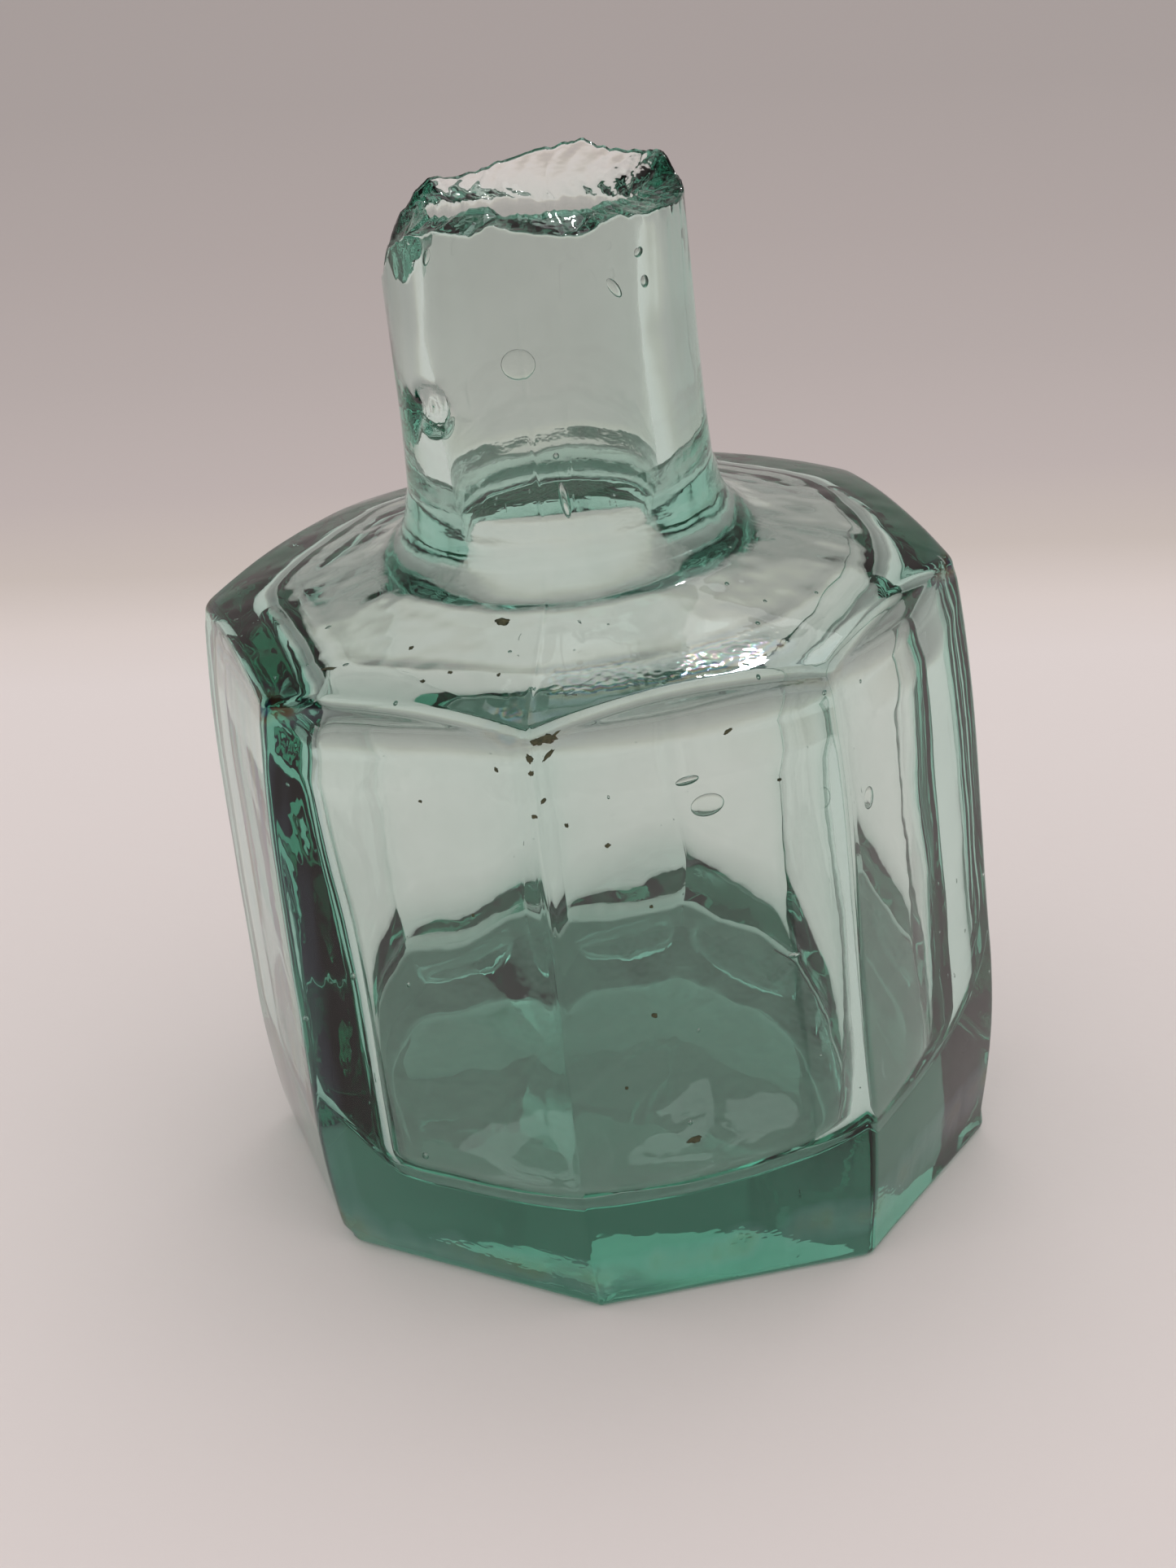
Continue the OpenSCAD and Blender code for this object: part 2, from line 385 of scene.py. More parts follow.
def outside_wall(rings):
    """From the rounded heel up to the rolled edge of the shoulder."""
    foot = octagon(panel_distance(0.0, 0.0), CORNER_RADIUS)
    ground = foot * np.cos(THETA - LEAN_TOWARDS) * math.tan(LEAN)
    steps = 6
    for i in range(steps + 1):
        a = math.radians(90 * i / steps)
        r = octagon(panel_distance(0.0, HEEL_RADIUS * (1 - math.sin(a))), CORNER_RADIUS)
        rings.add(r, ground + HEEL_RADIUS * (1 - math.cos(a)), "wall")
    top = SHOULDER_HEIGHT - SHOULDER_EDGE_START
    start = ground + HEEL_RADIUS
    steps = 42
    for i in range(1, steps + 1):
        z = start + (top - start) * i / steps
        rings.add(octagon(panel_distance(z, 0.0), CORNER_RADIUS), z, "wall")


def outside_shoulder(rings):
    """The rolled edge, the dome and the fillet."""
    side = octagon(panel_distance(SHOULDER_HEIGHT, 0.0), CORNER_RADIUS + 0.3)
    e = SHOULDER_EDGE_RADIUS
    slope = dome_angle(side - e)
    centre_r = side - e
    centre_z = dome_height(centre_r + e * np.sin(slope)) - e * np.cos(slope)
    steps = 9
    for i in range(steps + 1):
        a = (math.pi / 2 - slope) * i / steps
        rings.add(centre_r + e * np.cos(a), centre_z + e * np.sin(a), "edge", i / steps)
    start = centre_r + e * np.sin(slope)
    steps = 24
    for i in range(1, steps + 1):
        r = start + (FILLET_RADIUS - start) * i / steps
        rings.add(r, dome_height(r), "dome", i / steps)
    steps = 12
    for i in range(1, steps + 1):
        a = FILLET_SLOPE + (math.pi / 2 - FILLET_SLOPE) * i / steps
        r = FILLET_RADIUS - FILLET_ARC * (math.sin(a) - math.sin(FILLET_SLOPE))
        z = FILLET_BASE + FILLET_ARC * (math.cos(FILLET_SLOPE) - math.cos(a))
        rings.add(r, z, "fillet", i / steps)


def neck_heights(outer):
    """Heights up the neck, closer together over the bruise and under the break."""
    fixed = list(np.arange(FILLET_TOP + NECK_STEP, FINE_FROM - 0.2, NECK_STEP))
    fixed += list(np.arange(FINE_FROM, FINE_TO, FINE_STEP))
    rows = [np.full(COLUMNS, z) for z in fixed]
    last = fixed[-1]
    steps = 14
    rows += [last + (outer - last) * (1 - (1 - i / steps) ** 1.4) for i in range(1, steps + 1)]
    return rows


def neck_and_break(rings):
    """The neck's outside, the broken lip and the bore down to its throat."""
    outer, inner = break_level(OUTER_BREAK, 3), break_level(INNER_BREAK, 5)
    for z in neck_heights(outer):
        rings.add(neck_outside(z), z, "neck")
    lip = neck_outside(outer)
    steps = 16
    for i in range(1, steps + 1):
        t = i / steps
        dish = (BREAK_DISH - (BREAK_DISH - CALM_DISH) * calm_side()) * math.sin(math.pi * t)
        level = outer + (inner - outer) * t - dish
        rings.add(lip + (BORE_RADIUS - lip) * t, level, "break", t)
    steps = 26
    for i in range(1, steps + 1):
        t = i / steps
        z = inner + (THROAT_TOP - inner) * t
        rings.add(BORE_RADIUS - BORE_TAPER * t, z, "bore", t)
    steps = 9
    for i in range(1, steps + 1):
        a = math.radians(90 * i / steps)
        r = THROAT_END - THROAT_ROUND * math.cos(a)
        z = THROAT_TOP - THROAT_ROUND * math.sin(a)
        rings.add(r, z, "throat", i / steps)


def wall_inside(z):
    """Distance from the axis to the inner wall: eight flats, one set further in, blended at the corners."""
    rear = np.exp(-(turn_from(REAR_AT) / REAR_SPREAD) ** 4)
    crisp = np.exp(-(turn_from(CRISP_AT) / CRISP_SPREAD) ** 2)
    sharpness = ROUND_CORNERS + (CRISP_CORNERS - ROUND_CORNERS) * crisp
    sharpness = sharpness + (REAR_CORNERS - ROUND_CORNERS) * rear
    total = 0.0
    for k in range(8):
        panel = k * 45.0
        distance = panel_distance(z, PANEL_WALL)
        if panel == THICK_PANEL:
            distance = distance - THICK_EXTRA * (1 - THICK_TAPER * smoothstep(*THICK_FADE, z))
        facing = np.clip(np.cos(np.radians(turn_from(panel))), 0.0, None)
        total = total + (facing / distance) ** sharpness
    return total ** (-1 / sharpness) + REAR_THINNER * rear


def inside(rings):
    """The underside of the shoulder, the inner wall and the inside floor."""
    top_side = wall_inside(SHOULDER_HEIGHT)
    arc_start = top_side - CEILING_ROUND
    steps = 8
    for i in range(1, steps + 1):
        r = THROAT_END + (arc_start - THROAT_END) * i / steps
        rings.add(r, dome_height(r) - SHOULDER_WALL, "ceiling", i / steps)
    ceiling = dome_height(arc_start) - SHOULDER_WALL
    steps = 11
    for i in range(1, steps + 1):
        a = math.radians(90 * i / steps)
        r = top_side - CEILING_ROUND * (1 - math.sin(a))
        rings.add(r, ceiling - CEILING_ROUND * (1 - math.cos(a)), "inner")
    rise = FLOOR_RISE * np.cos(THETA - REAR)
    high, low = ceiling - CEILING_ROUND, BASE_WALL + rise + FLOOR_ROUND
    steps = 20
    for i in range(1, steps + 1):
        z = high + (low - high) * i / steps
        rings.add(wall_inside(z), z, "inner")
    side = wall_inside(low)
    steps = 12
    for i in range(1, steps + 1):
        a = math.radians(90 * i / steps)
        rings.add(side - FLOOR_ROUND * (1 - math.cos(a)), low - FLOOR_ROUND * math.sin(a), "inner")
    steps = 6
    for i in range(1, steps):
        share = 1 - i / steps
        rings.add((side - FLOOR_ROUND) * share, BASE_WALL + rise * share, "floor", i / steps)


def kind_mask(kinds, *names):
    """One for each ring of the named kinds and zero for the others, as a column."""
    return np.array([kind in names for kind in kinds], dtype=float)[:, None]


def surface_normals(points):
    """Outward normals of a closed grid of rings."""
    around = np.roll(points, -1, axis=1) - np.roll(points, 1, axis=1)
    along = np.gradient(points, axis=0)
    normal = np.cross(around, along)
    length = np.linalg.norm(normal, axis=2, keepdims=True)
    return normal / np.maximum(length, 1e-9)


def bruise(height, kinds):
    """Depth of the bruise and the part of it that is broken glass."""
    across = turn_from(BRUISE_AT) * math.pi / 180 * NECK_RADIUS
    up = height - BRUISE_HEIGHT
    spread = np.sqrt((across / BRUISE_WIDE) ** 2 + (up / BRUISE_HIGH) ** 2)
    dish = np.clip(1 - spread ** 2, 0, None) ** 0.7
    rings = 0.07 * np.sin(spread * 17) * np.clip(1 - spread, 0, None) ** 0.5
    pit = np.exp(-((across + 2.0) / 0.7) ** 2 - ((up + 0.6) / 1.1) ** 2)
    scar = np.exp(-((across - 0.9) / 0.35) ** 2 - ((up - 0.5) / 1.0) ** 2)
    on = kind_mask(kinds, "neck")
    depth = (BRUISE_DEEP * dish + rings + 0.55 * pit + 0.35 * scar) * on
    return depth, np.clip(dish * 1.4 + pit, 0, 1) * on


def seam_ridge(radius, points, kinds):
    """The mould's parting line, a thin ridge of uneven height up two opposite corners."""
    ridge = np.zeros_like(radius)
    for at in SEAMS:
        arc = turn_from(at)[None, :] * math.pi / 180 * radius
        ridge += np.exp(-(arc / SEAM_WIDTH) ** 2)
    broken = 0.55 + 0.45 * field(points, 2.2, 31)
    return ridge * broken * kind_mask(kinds, "wall", "edge", "dome", "fillet", "neck")


def break_ripples(points, radius, kinds):
    """Shell-like ripples and grain over the break."""
    angle = np.arctan2(points[..., 1], points[..., 0])
    across = angle * 8.0
    curl = across + 0.9 * (radius - 8.0) ** 2
    shells = np.abs(np.sin(curl * 1.9 + 2.0 * field(points, 4.0, 41)))
    grain = field(points, 0.9, 42)
    strength = 1 - 0.75 * calm_side()[None, :]
    return (0.16 * (shells ** 0.6 - 0.6) + 0.08 * grain) * strength * kind_mask(kinds, "break")


def relief(points, radius, height, kinds):
    """How far each point stands off the plain form along its normal, in millimetres."""
    outside = kind_mask(kinds, "wall", "edge", "dome", "fillet", "neck")
    hollow = kind_mask(kinds, "inner", "floor", "ceiling", "throat")
    bore = kind_mask(kinds, "bore", "throat")
    long_waves = field(points, LONG_WAVES, 1)
    short_waves = field(points, SHORT_WAVES, 2)
    streaks = field(points, (1.6, 1.6, 12.0), 3)
    move = outside * (SKIN_WAVES[0] * long_waves + SKIN_WAVES[1] * short_waves)
    dome_ripples = field(points, (2.6, 2.6, 1.2), 4) + 0.5 * field(points, (1.1, 1.1, 0.6), 6)
    move += kind_mask(kinds, "dome", "fillet") * DOME_RIPPLES * dome_ripples
    move += hollow * (HOLLOW_WAVES[0] * long_waves + HOLLOW_WAVES[1] * short_waves)
    move += bore * (BORE_WAVES * long_waves + BORE_STREAKS * streaks)
    move += SEAM_HEIGHT * seam_ridge(radius, points, kinds)
    move += break_ripples(points, radius, kinds)
    return move


def leaning(points):
    """Tilts points towards LEAN_TOWARDS about the centre of the base."""
    turn = Matrix.Rotation(LEAN_TOWARDS, 3, "Z")
    tilt = turn @ Matrix.Rotation(LEAN, 3, "Y") @ turn.inverted()
    return points @ np.array(tilt).T


def wear_masks(points, radius, height, kinds):
    """Where the glass is broken, scuffed, hazed and stained, each from 0 to 1."""
    _, cracked = bruise(height, kinds)
    fracture = np.clip(kind_mask(kinds, "break") + cracked, 0, 1)
    patchy = 0.5 + 0.5 * field(points, 2.4, 51)
    inboard = SHOULDER_RADIUS - radius
    past_seam = turn_from(SCUFF_FROM)
    right_of_seam = smoothstep(0, 3, past_seam) * (1 - smoothstep(*SCUFF_FADE, past_seam))
    band = np.exp(-((inboard - SCUFF_INBOARD) / SCUFF_WIDTH) ** 2) * right_of_seam[None, :]
    knot = np.exp(-((inboard - KNOT_INBOARD) / 1.0) ** 2 - (turn_from(KNOT_AT)[None, :] / 2.0) ** 2)
    shoulder = kind_mask(kinds, "edge", "dome")
    scuff = shoulder * np.clip(band + knot, 0, 1)
    scuff += shoulder * 0.35 * np.exp(-(inboard / 1.2) ** 2)
    heel = np.exp(-((height - HEEL_SCUFF_HEIGHT) / HEEL_SCUFF_REACH) ** 2) * kind_mask(kinds, "wall")
    scuff += 0.35 * heel * patchy
    foot = kind_mask(kinds, "fillet") + kind_mask(kinds, "neck") * np.exp(
        -np.clip(height - FILLET_TOP, 0, None) / 1.2)
    haze = foot * (0.55 + 0.45 * patchy)
    stain = kind_mask(kinds, "wall") * np.exp(-(turn_from(STAIN_AT)[None, :] / STAIN_REACH) ** 2)
    stain = stain + scuff
    return {
        "fracture": fracture,
        "scuff": np.clip(scuff, 0, 1),
        "haze": np.clip(haze, 0, 1),
        "stain": np.clip(stain, 0, 1),
    }


def skin():
    """Points, outward normals and masks of every ring, leaning and in millimetres."""
    rings = Rings()
    outside_wall(rings)
    outside_shoulder(rings)
    neck_and_break(rings)
    inside(rings)
    radius, height, kinds = np.array(rings.radius), np.array(rings.height), rings.kind
    points = np.stack([radius * COS, radius * SIN, height], axis=2)
    normals = surface_normals(points)
    dent, _ = bruise(height, kinds)
    move = relief(points, radius, height, kinds)
    move[0] = 0.0
    masks = wear_masks(points, radius, height, kinds)
    straight = points.copy()
    points = points + normals * move[:, :, None]
    points[:, :, 0] -= dent * COS
    points[:, :, 1] -= dent * SIN
    step = np.array(rings.step)[:, None, None]
    ceiling = kind_mask(kinds, "ceiling")[:, :, None]
    hollow = kind_mask(kinds, "inner", "floor")[:, :, None] + ceiling * step
    bore = kind_mask(kinds, "bore")[:, :, None] * np.minimum(step * 3, 1)
    bore = bore + kind_mask(kinds, "throat")[:, :, None] + ceiling * (1 - step)
    points = points + hollow * np.array((*HOLLOW_SHIFT, 0.0)) + bore * np.array((*BORE_SHIFT, 0.0))
    return straight, leaning(points), leaning(normals), masks


def closed_mesh(points, masks):
    """Adds the underside and the two middle points, and joins the rings."""
    foot = points[0].copy()
    foot[:, 2] = 0.0
    underside = []
    steps = 7
    for i in range(1, steps):
        ring = foot * (i / steps)
        ring[:, 2] = UNDERSIDE_RISE * (1 - (i / steps) ** 2)
        underside.append(ring)
    points = points.copy()
    points[0] = foot
    rows = np.concatenate([np.array(underside), points])
    rows[:, :, 2] = np.maximum(rows[:, :, 2], 0.0)
    low_centre = np.array([[0.0, 0.0, UNDERSIDE_RISE]])
    high_centre = rows[-1].mean(axis=0, keepdims=True)
    verts = np.concatenate([rows.reshape(-1, 3), low_centre, high_centre])
    layers = {}
    for name, mask in masks.items():
        plain = np.zeros((len(underside), COLUMNS))
        layers[name] = np.concatenate([np.concatenate([plain, mask]).ravel(), [0.0, 0.0]])
    count = len(rows)
    faces = []
    for i in range(count - 1):
        for j in range(COLUMNS):
            k = (j + 1) % COLUMNS
            faces.append((i * COLUMNS + j, i * COLUMNS + k, (i + 1) * COLUMNS + k, (i + 1) * COLUMNS + j))
    last, centre = (count - 1) * COLUMNS, count * COLUMNS
    for j in range(COLUMNS):
        k = (j + 1) % COLUMNS
        faces.append((centre, k, j))
        faces.append((centre + 1, last + j, last + k))
    return verts, faces, layers


def ball(segments, rows):
    """A sphere of radius one, with its faces looking outward."""
    verts = [(0.0, 0.0, -1.0)]
    for i in range(1, rows):
        a = math.pi * i / rows - math.pi / 2
        for j in range(segments):
            b = 2 * math.pi * j / segments
            verts.append((math.cos(a) * math.cos(b), math.cos(a) * math.sin(b), math.sin(a)))
    verts.append((0.0, 0.0, 1.0))
    faces = []
    for j in range(segments):
        k = (j + 1) % segments
        faces.append((0, 1 + k, 1 + j))
        for i in range(rows - 2):
            a, b = 1 + i * segments, 1 + (i + 1) * segments
            faces.append((a + j, a + k, b + k, b + j))
        top = 1 + (rows - 2) * segments
        faces.append((top + j, top + k, len(verts) - 1))
    return np.array(verts), faces


def place_on_skin(straight, points, normals, degrees, height, radius):
    """The point of the skin nearest to a place, with its sideways, upward and outward directions."""
    a = math.radians(degrees)
    place = np.array([radius * math.cos(a), radius * math.sin(a), height])
    i, j = np.unravel_index(np.argmin(((straight - place) ** 2).sum(axis=2)), straight.shape[:2])
    out = normals[i, j]
    side = np.cross((0.0, 0.0, 1.0), out)
    if np.linalg.norm(side) < 1e-3:
        side = np.array([1.0, 0.0, 0.0])
    side /= np.linalg.norm(side)
    return points[i, j], side, np.cross(out, side), out


def bubble_list(straight):
    """The placed bubbles, then small seeds scattered through the wall."""
    bubbles = list(BUBBLES)
    rng = np.random.default_rng(11)
    for _ in range(SEED_COUNT):
        i = int(rng.integers(FIRST_SEED_RING, OUTSIDE_RINGS))
        j = int(rng.integers(0, COLUMNS))
        x, y, z = straight[i, j]
        size = float(rng.uniform(0.12, 0.30)) * (1.6 if rng.random() < 0.12 else 1.0)
        tall = size * float(rng.uniform(0.9, 1.7))
        bubbles.append((math.degrees(math.atan2(y, x)), z, math.hypot(x, y), size, tall, size * 0.7,
                        float(rng.uniform(-30, 30)), float(rng.uniform(0.5, 1.6))))
    return bubbles


def add_bubbles(verts, faces, layers, straight, points, normals):
    """Hollows in the glass: closed skins that look inward, in the same mesh as the bottle."""
    fine, coarse = ball(20, 12), ball(9, 6)
    parts, base = [verts], len(verts)
    for degrees, z, r, wide, tall, thick, tilt, depth in bubble_list(straight):
        at, side, up, out = place_on_skin(straight, points, normals, degrees, z, r)
        shape, shape_faces = fine if max(wide, tall) > LARGE_BUBBLE else coarse
        c, s = math.cos(math.radians(tilt)), math.sin(math.radians(tilt))
        across, along = side * c + up * s, up * c - side * s
        body = (
            at - out * depth + np.outer(shape[:, 0] * wide / 2, across)
            + np.outer(shape[:, 1] * tall / 2, along) + np.outer(shape[:, 2] * thick / 2, out)
        )
        parts.append(body)
        faces.extend(tuple(base + v for v in reversed(face)) for face in shape_faces)
        base += len(shape)
    verts = np.concatenate(parts)
    for name in layers:
        extra = len(verts) - len(layers[name])
        layers[name] = np.concatenate([layers[name], np.zeros(extra)])
    return verts


def dirt_mesh(straight, points, normals):
    """Small lumpy crumbs of dirt lying on the outer face."""
    shape, shape_faces = ball(20, 12)
    verts, faces, base = [], [], 0
    for number, (degrees, z, r, long, wide) in enumerate(DIRT):
        at, side, up, out = place_on_skin(straight, points, normals, degrees, z, r)
        lumps = 1 + 0.85 * field(shape, 0.55, 60 + number)
        spin = number * 1.7 if long / wide < 1.5 else 0.25 + 0.5 * math.sin(number)
        across = side * math.cos(spin) + up * math.sin(spin)
        along = up * math.cos(spin) - side * math.sin(spin)
        body = (
            at + np.outer(shape[:, 0] * lumps * long / 2, across)
            + np.outer(shape[:, 1] * lumps * wide / 2, along)
            + np.outer(shape[:, 2] * lumps * min(0.07, wide * 0.3), out)
        )
        verts.append(body)
        faces.extend(tuple(base + v for v in face) for face in shape_faces)
        base += len(shape)
    return np.concatenate(verts), faces


def make_mesh(name, verts, faces, layers=None):
    mesh = bpy.data.meshes.new(name)
    mesh.from_pydata([tuple(v) for v in np.asarray(verts) * MM], [], faces)
    mesh.polygons.foreach_set("use_smooth", [True] * len(mesh.polygons))
    for layer, values in (layers or {}).items():
        attribute = mesh.attributes.new(layer, "FLOAT", "POINT")
        attribute.data.foreach_set("value", np.asarray(values, dtype=np.float32))
    mesh.update()
    obj = bpy.data.objects.new(name, mesh)
    bpy.context.scene.collection.objects.link(obj)
    return obj


def new_material(name):
    mat = bpy.data.materials.new(name)
    mat.use_nodes = True
    mat.node_tree.nodes.clear()
    return mat, mat.node_tree


def add(tree, kind, links=None, **values):
    """Makes a node; links maps its inputs to sockets, and values sets properties."""
    node = tree.nodes.new(kind)
    for key, value in values.items():
        setattr(node, key, value)
    for key, value in (links or {}).items():
        if isinstance(value, bpy.types.NodeSocket):
            tree.links.new(value, node.inputs[key])
        else:
            node.inputs[key].default_value = value
    return node


def math_node(tree, operation, a, b=0.0, c=0.0):
    return add(tree, "ShaderNodeMath", {0: a, 1: b, 2: c}, operation=operation).outputs[0]


def noise_node(tree, vector, scale, detail):
    links = {"Vector": vector, "Scale": scale, "Detail": detail, "Roughness": 0.5}
    return add(tree, "ShaderNodeTexNoise", links).outputs[0]


def colour_mix(tree, share, first, second):
    links = {"Factor": share, 6: first, 7: second}
    return add(tree, "ShaderNodeMix", links, data_type="RGBA").outputs[2]


def stretched(tree, vector, scale):
    return add(tree, "ShaderNodeMapping", {"Vector": vector, "Scale": scale}).outputs[0]


def mask_node(tree, name):
    return add(tree, "ShaderNodeAttribute", attribute_name=name).outputs["Fac"]


def tone(values):
    """Eight-bit colour values as linear ones."""
    linear = [(v / 255 / 12.92) if v < 11 else ((v / 255 + 0.055) / 1.055) ** 2.4 for v in values]
    return (*linear, 1.0)


def glass_material():
    """Smooth aqua glass, roughened and tinted where the masks say that it is worn."""
    mat, tree = new_material("aqua_glass")
    where = add(tree, "ShaderNodeTexCoord").outputs["Object"]
    fracture, scuff = mask_node(tree, "fracture"), mask_node(tree, "scuff")
    haze, stain = mask_node(tree, "haze"), mask_node(tree, "stain")

    cloud = noise_node(tree, where, 600.0, 1.0)
    grain = noise_node(tree, stretched(tree, where, (1.0, 1.0, 2.0)), 2400.0, 0.0)
    rubbed = math_node(tree, "MULTIPLY", math_node(tree, "MULTIPLY_ADD", haze, 0.25, scuff), cloud)

    skin_height = math_node(tree, "MULTIPLY", cloud, SKIN_BUMP)
    broken_height = math_node(tree, "MULTIPLY", fracture, BREAK_BUMP)
    worn_height = math_node(tree, "MULTIPLY_ADD", rubbed, RUBBED_BUMP, broken_height)
    height = math_node(tree, "MULTIPLY_ADD", grain, worn_height, skin_height)
    bump = add(tree, "ShaderNodeBump", {"Strength": 1.0, "Distance": 1.0, "Height": height}).outputs[0]

    rough = math_node(tree, "MULTIPLY", fracture, BREAK_ROUGH)
    rough = math_node(tree, "MULTIPLY_ADD", rubbed, RUBBED_ROUGH, rough)
    rough = math_node(tree, "MULTIPLY_ADD", math_node(tree, "MULTIPLY", haze, cloud), HAZE_ROUGH, rough)

    runs = noise_node(tree, stretched(tree, where, (1.0, 1.0, 0.12)), 900.0, 1.0)
    film = math_node(tree, "MULTIPLY", stain, math_node(tree, "MULTIPLY_ADD", runs, 900.0, 60.0))
    streaks = math_node(tree, "MULTIPLY", math_node(tree, "MULTIPLY", stain, runs), 1.7)
    dusty = colour_mix(tree, cloud, CLEAN_TINT, DUSTY_TINT)
    stained = colour_mix(tree, streaks, dusty, STAIN_TINT)

    shader = add(tree, "ShaderNodeBsdfPrincipled", {
        "Base Color": stained, "Roughness": rough, "IOR": 1.51, "Transmission Weight": 1.0, "Normal": bump,
        "Thin Film Thickness": film, "Thin Film IOR": 1.7,
    })
    volume = add(tree, "ShaderNodeVolumeAbsorption", {"Color": GLASS_COLOUR, "Density": GLASS_DENSITY})
    add(tree, "ShaderNodeOutputMaterial", {"Surface": shader.outputs[0], "Volume": volume.outputs[0]})
    return mat


def dirt_material():
    """Dull dark crust."""
    mat, tree = new_material("dried_dirt")
    where = add(tree, "ShaderNodeTexCoord").outputs["Object"]
    grain = noise_node(tree, where, 3500.0, 3.0)
    colour = colour_mix(tree, grain, DARK_DIRT, PALE_DIRT)
    bump = add(tree, "ShaderNodeBump", {"Strength": 0.6, "Distance": 0.00005, "Height": grain}).outputs[0]
    shader = add(tree, "ShaderNodeBsdfPrincipled", {"Base Color": colour, "Roughness": 0.75, "Normal": bump})
    add(tree, "ShaderNodeOutputMaterial", {"Surface": shader.outputs[0]})
    return mat


def towards_rear(tree, where):
    """How far a place or direction lies towards the rear, where the backdrop is."""
    behind = (math.cos(REAR), math.sin(REAR), 0.0)
    return add(tree, "ShaderNodeVectorMath", {0: where, 1: behind}, operation="DOT_PRODUCT").outputs["Value"]


def floor_material():
    """Pale floor whose tone turns into the wall's darker tone with the distance behind the bottle, as
    painted shade.
    """
    mat, tree = new_material("pale_floor_and_painted_backdrop_shade")
    where = add(tree, "ShaderNodeTexCoord").outputs["Object"]
    share = math_node(tree, "DIVIDE", towards_rear(tree, where), BACKDROP_REACH)
    # Painted shade: the darker tones further behind the bottle stand for the backdrop wall's dimmer light.
    ramp = add(tree, "ShaderNodeValToRGB", {"Fac": share})
    stops = ramp.color_ramp.elements
    while len(stops) < len(FLOOR_AND_PAINTED_BACKDROP_SHADE):
        stops.new(0.5)
    for stop, (distance, values) in zip(stops, FLOOR_AND_PAINTED_BACKDROP_SHADE):
        stop.position = distance / BACKDROP_REACH
        stop.color = tone(values)
    grain = noise_node(tree, where, 900.0, 3.0)
    bump = add(tree, "ShaderNodeBump", {"Strength": 0.2, "Distance": 0.0001, "Height": grain}).outputs[0]
    shader = add(tree, "ShaderNodeBsdfPrincipled", {
        "Base Color": ramp.outputs[0], "Roughness": 0.8, "Specular IOR Level": 0.2, "Normal": bump,
    })
    add(tree, "ShaderNodeOutputMaterial", {"Surface": shader.outputs[0]})
    return mat


def make_stage():
    bpy.ops.mesh.primitive_plane_add(size=4.0, location=(0, 0, 0))
    floor = bpy.context.object
    floor.name = "floor"
    floor.data.materials.append(floor_material())


def smooth_range(tree, value, low, high, low_result, high_result):
    links = {0: value, 1: low, 2: high, 3: low_result, 4: high_result}
    return add(tree, "ShaderNodeMapRange", links, interpolation_type="SMOOTHSTEP").outputs[0]


def make_world():
    """Plain soft light. The camera, gloss and glass see the wall's tone, dimmer away from the backdrop."""
    world = bpy.data.worlds.new("studio")
    bpy.context.scene.world = world
    world.use_nodes = True
    tree = world.node_tree
    tree.nodes.clear()
    ray = add(tree, "ShaderNodeLightPath").outputs
    seen = math_node(tree, "MAXIMUM", ray["Is Camera Ray"], ray["Is Glossy Ray"])
    seen = math_node(tree, "MAXIMUM", seen, ray["Is Transmission Ray"])
    direct = math_node(tree, "LESS_THAN", ray["Diffuse Depth"], 0.5)
    seen = math_node(tree, "MULTIPLY", seen, direct)
    where = add(tree, "ShaderNodeTexCoord").outputs["Generated"]
    up = add(tree, "ShaderNodeSeparateXYZ", {0: where}).outputs["Z"]
    height = smooth_range(tree, up, 0.0, 0.6, 0.0, 1.0)
    wall = colour_mix(tree, height, tone(WALL_TONE), tone(CEILING_TONE))
    room = smooth_range(tree, towards_rear(tree, where), 0.1, 0.85, ROOM_DARK, 1.0)
    backdrop = add(tree, "ShaderNodeBackground", {"Color": wall, "Strength": room}).outputs[0]
    plain = {"Color": (1.0, 0.99, 0.98, 1.0), "Strength": STUDIO_LIGHT}
    light = add(tree, "ShaderNodeBackground", plain).outputs[0]
    mix = add(tree, "ShaderNodeMixShader", {0: seen, 1: light, 2: backdrop}).outputs[0]
    add(tree, "ShaderNodeOutputWorld", {"Surface": mix})


def area_light(name, at, aim, size, power):
    """A round lamp at a place, turned to aim; size in metres and power in watts."""
    light = bpy.data.lights.new(name, "AREA")
    light.shape = "DISK"
    light.size = size
    light.energy = power
    obj = bpy.data.objects.new(name, light)
    obj.location = at
    obj.rotation_mode = "QUATERNION"
    obj.rotation_quaternion = (Vector(aim) - Vector(at)).to_track_quat("-Z", "Y")
    bpy.context.scene.collection.objects.link(obj)
    return obj


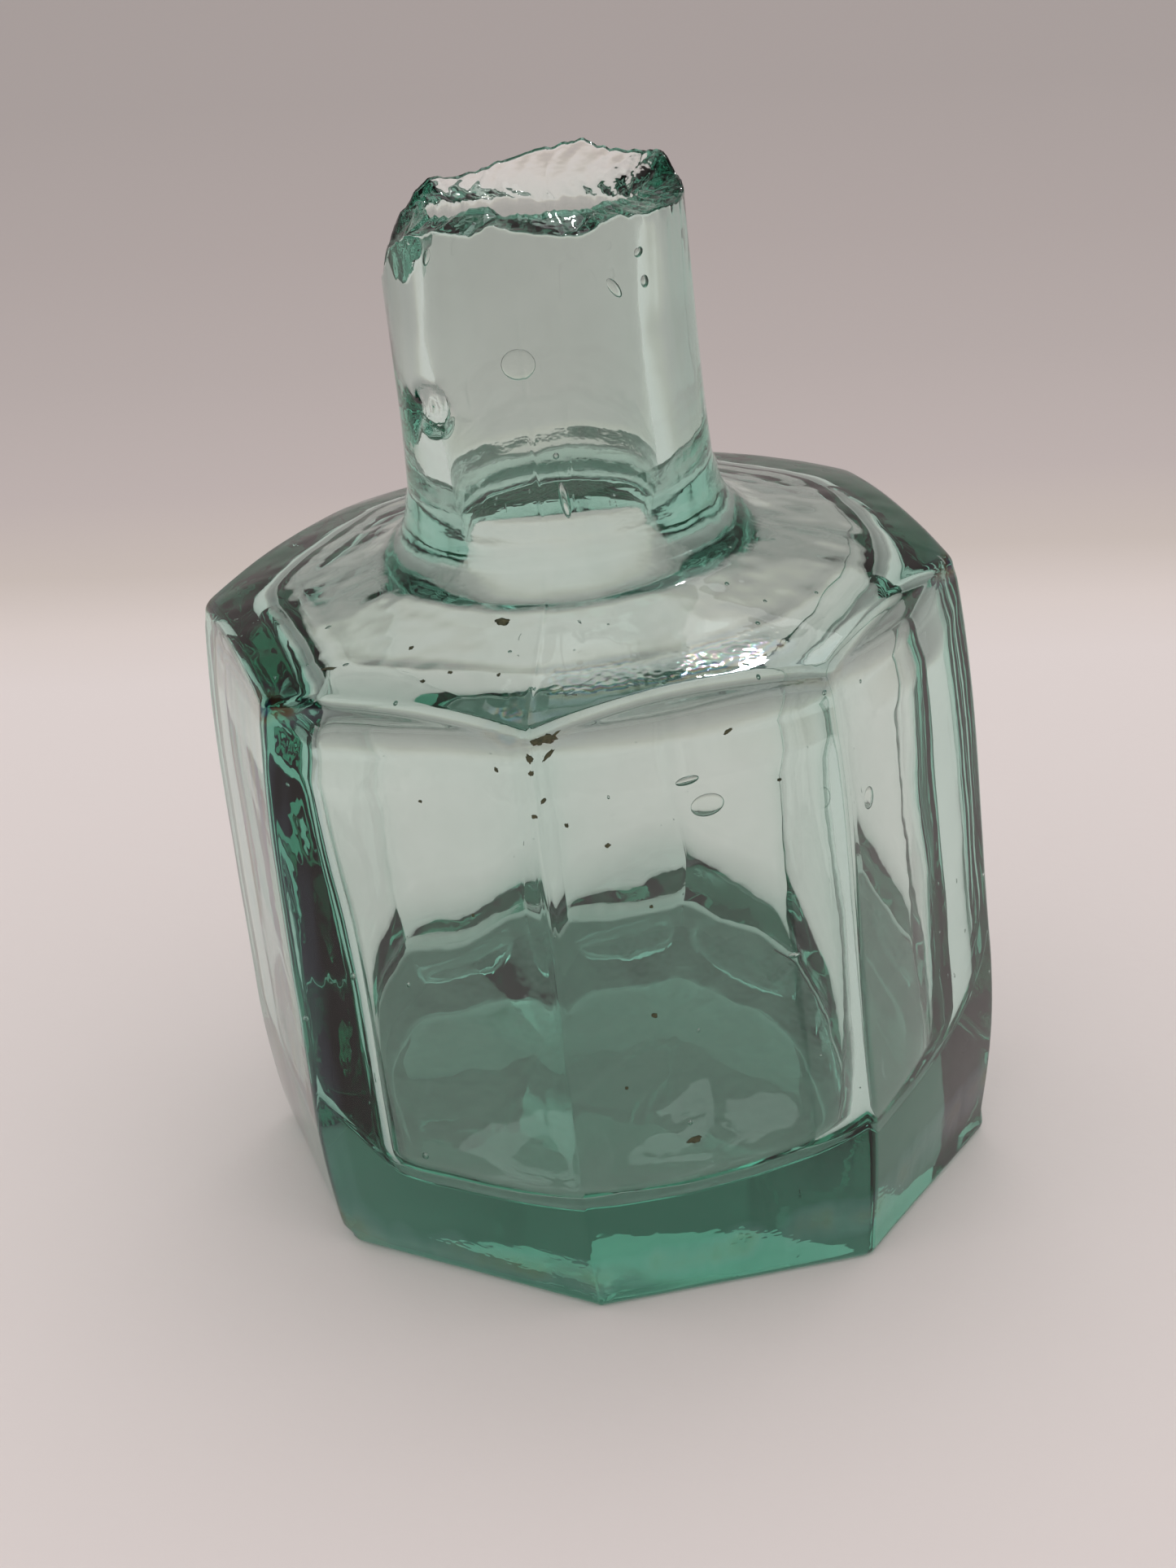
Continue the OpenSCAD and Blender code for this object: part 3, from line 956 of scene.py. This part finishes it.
def make_lights():
    """A soft lamp for the shadow and a small one that shows only in gloss."""
    area_light("key", *KEY_LAMP)
    glint = area_light("glint", *GLINT_LAMP)
    glint.visible_diffuse = False
    glint.visible_transmission = False


def make_camera():
    data = bpy.data.cameras.new("camera")
    data.lens = CAMERA_LENS
    data.sensor_width = SENSOR
    data.clip_start = 0.01
    data.clip_end = 20.0
    obj = bpy.data.objects.new("camera", data)
    forward, up = Vector(CAMERA_FORWARD), Vector(CAMERA_UP)
    right = forward.cross(up)
    turn = Matrix((right, up, -forward)).transposed().to_4x4()
    obj.matrix_world = Matrix.Translation(CAMERA_AT) @ turn
    bpy.context.scene.collection.objects.link(obj)
    bpy.context.scene.camera = obj


def make_bottle():
    straight, points, normals, masks = skin()
    verts, faces, layers = closed_mesh(points, masks)
    verts = add_bubbles(verts, faces, layers, straight, points, normals)
    bottle = make_mesh("bottle_glass", verts, faces, layers)
    bottle.data.materials.append(glass_material())
    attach(bottle, "root")
    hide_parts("bottle")
    outer_skin = (straight[:OUTSIDE_RINGS], points[:OUTSIDE_RINGS], normals[:OUTSIDE_RINGS])
    dirt = make_mesh("bottle_dirt", *dirt_mesh(*outer_skin))
    dirt.data.materials.append(dirt_material())
    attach(dirt, "root")
    triangles = sum(len(p.vertices) - 2 for p in bottle.data.polygons)
    print("bottle_glass triangles", triangles)


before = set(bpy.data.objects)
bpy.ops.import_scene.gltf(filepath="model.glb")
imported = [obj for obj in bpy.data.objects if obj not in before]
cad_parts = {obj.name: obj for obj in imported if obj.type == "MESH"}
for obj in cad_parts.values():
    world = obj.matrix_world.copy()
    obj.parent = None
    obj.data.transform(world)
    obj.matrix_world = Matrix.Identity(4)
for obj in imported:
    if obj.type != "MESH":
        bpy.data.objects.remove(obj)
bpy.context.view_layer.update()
make_camera()
make_bottle()
make_stage()
make_world()
make_lights()
scene = bpy.context.scene
scene.view_settings.view_transform = "Standard"
scene.cycles.max_bounces = 24
scene.cycles.transmission_bounces = 24
scene.cycles.glossy_bounces = 8
